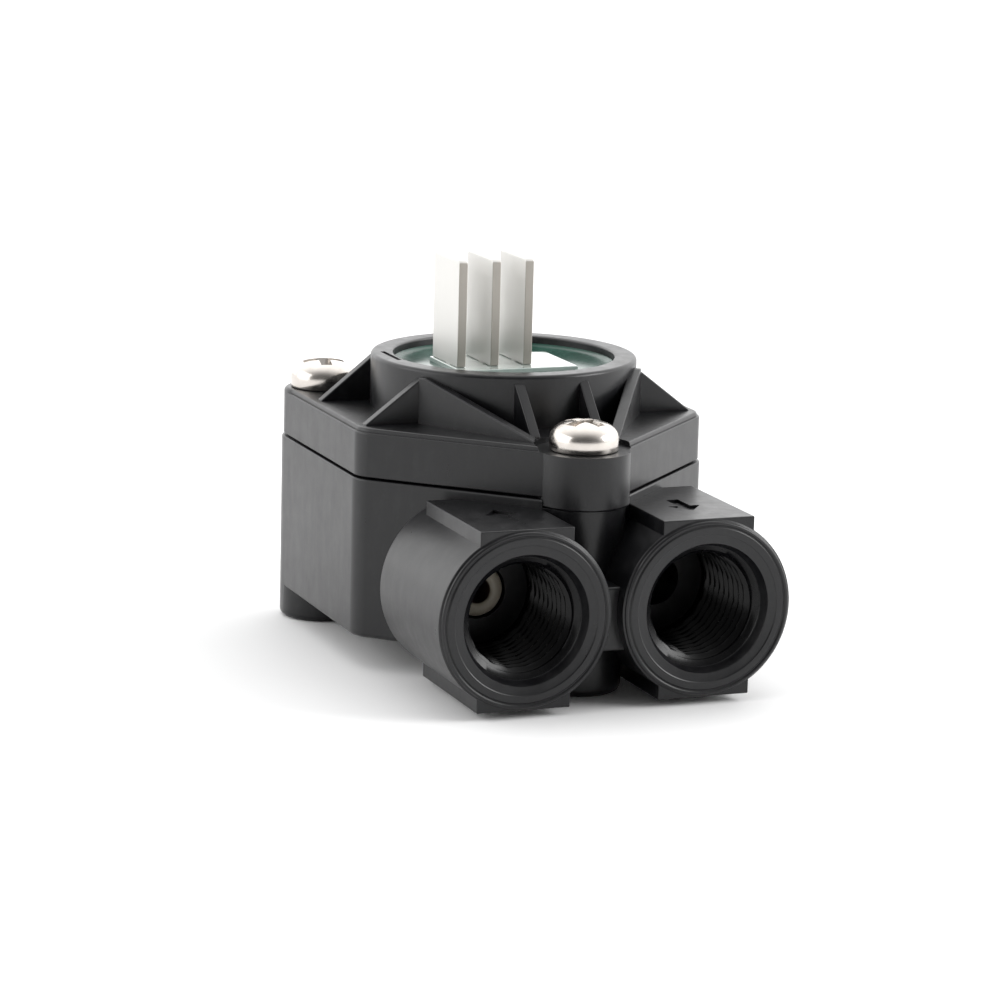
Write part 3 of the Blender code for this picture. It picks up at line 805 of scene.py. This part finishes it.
def circuit_board(look):
    """The board, with a slot for each terminal's tail."""
    slot_half = Vector((0.6, 0.9))
    made = to_object("sensor_board", box(BOARD_LOW, BOARD_HIGH, 0.12), look)
    cuts = []
    for node in TERMINALS:
        x = (corner(node, 0).x + corner(node, 1).x) / 2
        low = (x - slot_half.x, AXIS_Y - slot_half.y, BOARD_LOW.z - 1)
        high = (x + slot_half.x, AXIS_Y + slot_half.y, BOARD_HIGH.z + 1)
        cuts.append(box(low, high))
    combine(made, cuts, "DIFFERENCE")
    finish_shading(made)
    place(made, HOUSING, "board", "circuit_board")


def blade(node, look):
    """A wide flat blade with a softly rounded tip and edges, on a narrow tail."""
    low = corner(node, 0)
    high = corner(node, 1)
    shoulder = BOARD_HIGH.z + 0.02
    front = low.y - AXIS_Y
    back = high.y - AXIS_Y
    tail = 0.8
    tip = 0.3
    outline = [(-tail, low.z), (tail, low.z), (tail, shoulder), (back, shoulder),
               (back, high.z - tip), (back - tip, high.z), (front + tip, high.z),
               (front, high.z - tip), (front, shoulder), (-tail, shoulder)]
    shape = plate((high.x - low.x) / 2, outline, 0.0)
    turn = Matrix.Translation(((low.x + high.x) / 2, AXIS_Y, 0)) @ Matrix.Rotation(pi / 2, 4, "Z")
    bmesh.ops.transform(shape, matrix=turn, verts=shape.verts)
    made = to_object(node + "_blade", shape, look)
    edges = made.modifiers.new("soft_edges", "BEVEL")
    edges.width = 0.00014
    edges.segments = 3
    edges.limit_method = "ANGLE"
    edges.angle_limit = radians(30)
    finish_shading(made, 50)
    place(made, HOUSING, "terminal", node)


# ---------------------------------------------------------------- screws, nozzle and inner pieces

def screw(node, centre, turn, look):
    """A pan head with a tapering cross recess, on a threaded shank."""
    low = corner(node, 0)
    high = corner(node, 1)
    head_z = SEATS[node] + 0.03
    radius = (high.x - low.x) / 2
    side = 1.2
    dome = high.z - head_z - side
    head = [(0.0, head_z), (radius - 0.25, head_z), (radius - 0.07, head_z + 0.06),
            (radius, head_z + 0.22), (radius, head_z + side)]
    for k in range(1, 14):
        angle = pi / 2 * k / 14
        head.append((radius * cos(angle) ** 0.75, head_z + side + dome * sin(angle) ** 0.85))
    head.append((0.0, high.z))
    made = to_object(node + "_pan_head", turned(head, centre, 96), look)
    combine(made, [screw_shank(centre, low.z, head_z + 0.5)], "UNION")
    combine(made, cross_recess(centre, high.z, turn), "DIFFERENCE")
    finish_shading(made, 35)
    place(made, HOUSING, "screw", node)


def screw_shank(centre, low, high):
    """A threaded shank, M4 with a 0.7 mm pitch."""
    pitch = 0.7
    sides = 24
    rows = int((high - low) / pitch * 6)
    rings = []
    for row in range(rows + 1):
        z = low + (high - low) * row / rows
        ring = []
        for step in range(sides):
            phase = (z / pitch - step / sides) % 1.0
            ridge = max(0.0, 1 - abs(phase - 0.5) * 2.4)
            taper = min(1.0, (z - low) / 1.2 + 0.3)
            radius = (1.6 + 0.35 * ridge) * taper if z < high - 3 else 1.85
            angle = 2 * pi * step / sides
            ring.append((centre[0] + radius * cos(angle), centre[1] + radius * sin(angle), z))
        rings.append(ring)
    return loft(rings)


def cross_recess(centre, top, turn):
    """Two crossing slots that narrow as they go down."""
    made = []
    for quarter_turn in (0, pi / 2):
        rings = []
        for z, reach, half in ((top - 2.2, 1.2, 0.4), (top - 0.3, 2.5, 0.66), (top + 0.6, 3.0, 0.74)):
            rings.append([(-reach, -half, z), (reach, -half, z), (reach, half, z), (-reach, half, z)])
        slot = loft(rings)
        at = Matrix.Translation((*centre, 0)) @ Matrix.Rotation(turn + quarter_turn, 4, "Z")
        bmesh.ops.transform(slot, matrix=at, verts=slot.verts)
        made.append(slot)
    return made


def nozzle(look):
    """The jet: a rounded collar round a countersunk bore."""
    length = NOZZLE_HIGH.y - NOZZLE_LOW.y
    outer = (NOZZLE_HIGH.x - NOZZLE_LOW.x) / 2
    profile = [(1.15, length), (1.15, 1.4), (1.36, 1.0), (1.40, 0.42), (1.52, 0.2), (1.75, 0.05),
               (2.1, 0.0), (2.5, 0.06), (2.82, 0.24), (3.02, 0.5), (outer, 0.9), (outer, length)]
    shape = lay_down(turned(profile, sides=96), -PORT_X, NOZZLE_LOW.y, PORT_Z)
    made = to_object("jet_nozzle", shape, look)
    finish_shading(made, 45)
    place(made, HOUSING, "nozzle", "inlet_nozzle")


def repaint(node, look):
    """Give a CAD node that keeps its shape its own finish."""
    materials = frame["nodes"][node].data.materials
    materials.clear()
    materials.append(look)


# ---------------------------------------------------------------- camera, floor and light

AZIMUTH = radians(21.683)
ELEVATION = radians(11.940)
ROLL = radians(1.461)
DISTANCE = 0.44948
LENS = 135.36
AIM_DROP = 0.01762              # how far the aim lies under the ring's centre, across the view


def camera():
    away = Vector((-sin(AZIMUTH) * cos(ELEVATION), -cos(AZIMUTH) * cos(ELEVATION), sin(ELEVATION)))
    right = Vector((cos(AZIMUTH), -sin(AZIMUTH), 0.0))
    up = away.cross(right)
    rolled_right = cos(ROLL) * right + sin(ROLL) * up
    rolled_up = cos(ROLL) * up - sin(ROLL) * right
    ring_centre = Vector((0.0, AXIS_Y * MM, RING_TOP_Z * MM))
    data = bpy.data.cameras.new("camera")
    data.lens = LENS
    data.sensor_width = 36.0
    data.clip_start = 0.01
    made = bpy.data.objects.new("camera", data)
    axes = Matrix((rolled_right, rolled_up, away)).transposed().to_4x4()
    made.matrix_world = Matrix.Translation(ring_centre - up * AIM_DROP + away * DISTANCE) @ axes
    bpy.context.scene.collection.objects.link(made)
    bpy.context.scene.camera = made


def floor():
    look = Look("floor_paper", (0.94, 0.94, 0.94), 0.9)
    grain = look.noise(60, 3.0)
    look.colour(grain, [(0.3, (0.935, 0.935, 0.935)), (0.7, (0.945, 0.945, 0.945))])
    shape = loft([[(x, y, z) for x, y in circle((0, 0), 6000, 64)] for z in (-20.0, -0.02)])
    made = to_object("floor", shape, look.made)


def area_light(name, position, target, size, power):
    data = bpy.data.lights.new(name, "AREA")
    data.shape = "RECTANGLE"
    data.size, data.size_y = size
    data.energy = power
    made = bpy.data.objects.new(name, data)
    made.location = position
    made.rotation_euler = (Vector(target) - Vector(position)).to_track_quat("-Z", "Y").to_euler()
    bpy.context.scene.collection.objects.link(made)


def world_light():
    """A white tent that is brighter at the back and the sides than behind the camera."""
    world = bpy.data.worlds.new("studio")
    world.use_nodes = True
    nodes = world.node_tree.nodes
    links = world.node_tree.links
    direction = nodes.new("ShaderNodeTexCoord")
    turn = nodes.new("ShaderNodeVectorMath")
    turn.operation = "DOT_PRODUCT"
    turn.inputs[1].default_value = Vector((sin(AZIMUTH), cos(AZIMUTH), 0.0)).normalized()
    spread = nodes.new("ShaderNodeMapRange")
    spread.interpolation_type = "SMOOTHSTEP"
    spread.inputs["From Min"].default_value = -0.95
    spread.inputs["From Max"].default_value = 0.6
    spread.inputs["To Min"].default_value = 0.16
    spread.inputs["To Max"].default_value = 1.9
    nodes["Background"].inputs["Color"].default_value = (1.0, 1.0, 1.0, 1.0)
    links.new(direction.outputs["Generated"], turn.inputs[0])
    links.new(turn.outputs["Value"], spread.inputs["Value"])
    links.new(spread.outputs["Result"], nodes["Background"].inputs["Strength"])
    bpy.context.scene.world = world


def studio():
    centre = (0.0, 0.0, 0.02)
    area_light("left_softbox", (-1.0, 0.1, 0.35), centre, (1.0, 0.8), 5.0)
    area_light("right_softbox", (0.80, -0.42, 0.40), centre, (0.45, 0.45), 5.5)
    world_light()
    bpy.context.scene.view_settings.view_transform = "Standard"


# ---------------------------------------------------------------- the model

def build():
    black = glass_filled_plastic()
    lower_housing(black, shaded_bore_plastic())
    cover(black)
    potting(potting_resin())
    circuit_board(board_laminate())
    tin = blade_tin()
    for node in TERMINALS:
        blade(node, tin)
    nickel = metal("nickel_steel", (0.56, 0.52, 0.48), (0.68, 0.64, 0.60), 0.16, 0.26,
                   depth=0.000008)
    for turn, (node, centre) in enumerate(SCREWS.items()):
        screw(node, centre, 0.5 + 0.9 * turn, nickel)
    nozzle(nozzle_plastic())

    wheel_plastic = natural_plastic("wheel_plastic", (0.66, 0.65, 0.61), (0.80, 0.79, 0.76))
    repaint("turbine_wheel", wheel_plastic)
    repaint("cover_seal", seal_rubber())
    repaint("turbine_axle", metal("axle_steel", (0.5, 0.5, 0.52), (0.66, 0.66, 0.68), 0.15, 0.3))
    ceramic_magnet = ferrite()
    for k in range(1, 5):
        repaint(f"magnet_{k}", ceramic_magnet)
    stone = jewel()
    repaint("lower_bearing", stone)
    repaint("upper_bearing", stone)
    epoxy = chip_epoxy()
    repaint("hall_sensor", epoxy)
    repaint("pull_up_resistor", epoxy)
    repaint("smoothing_capacitor", chip_ceramic())


build()
camera()
floor()
studio()
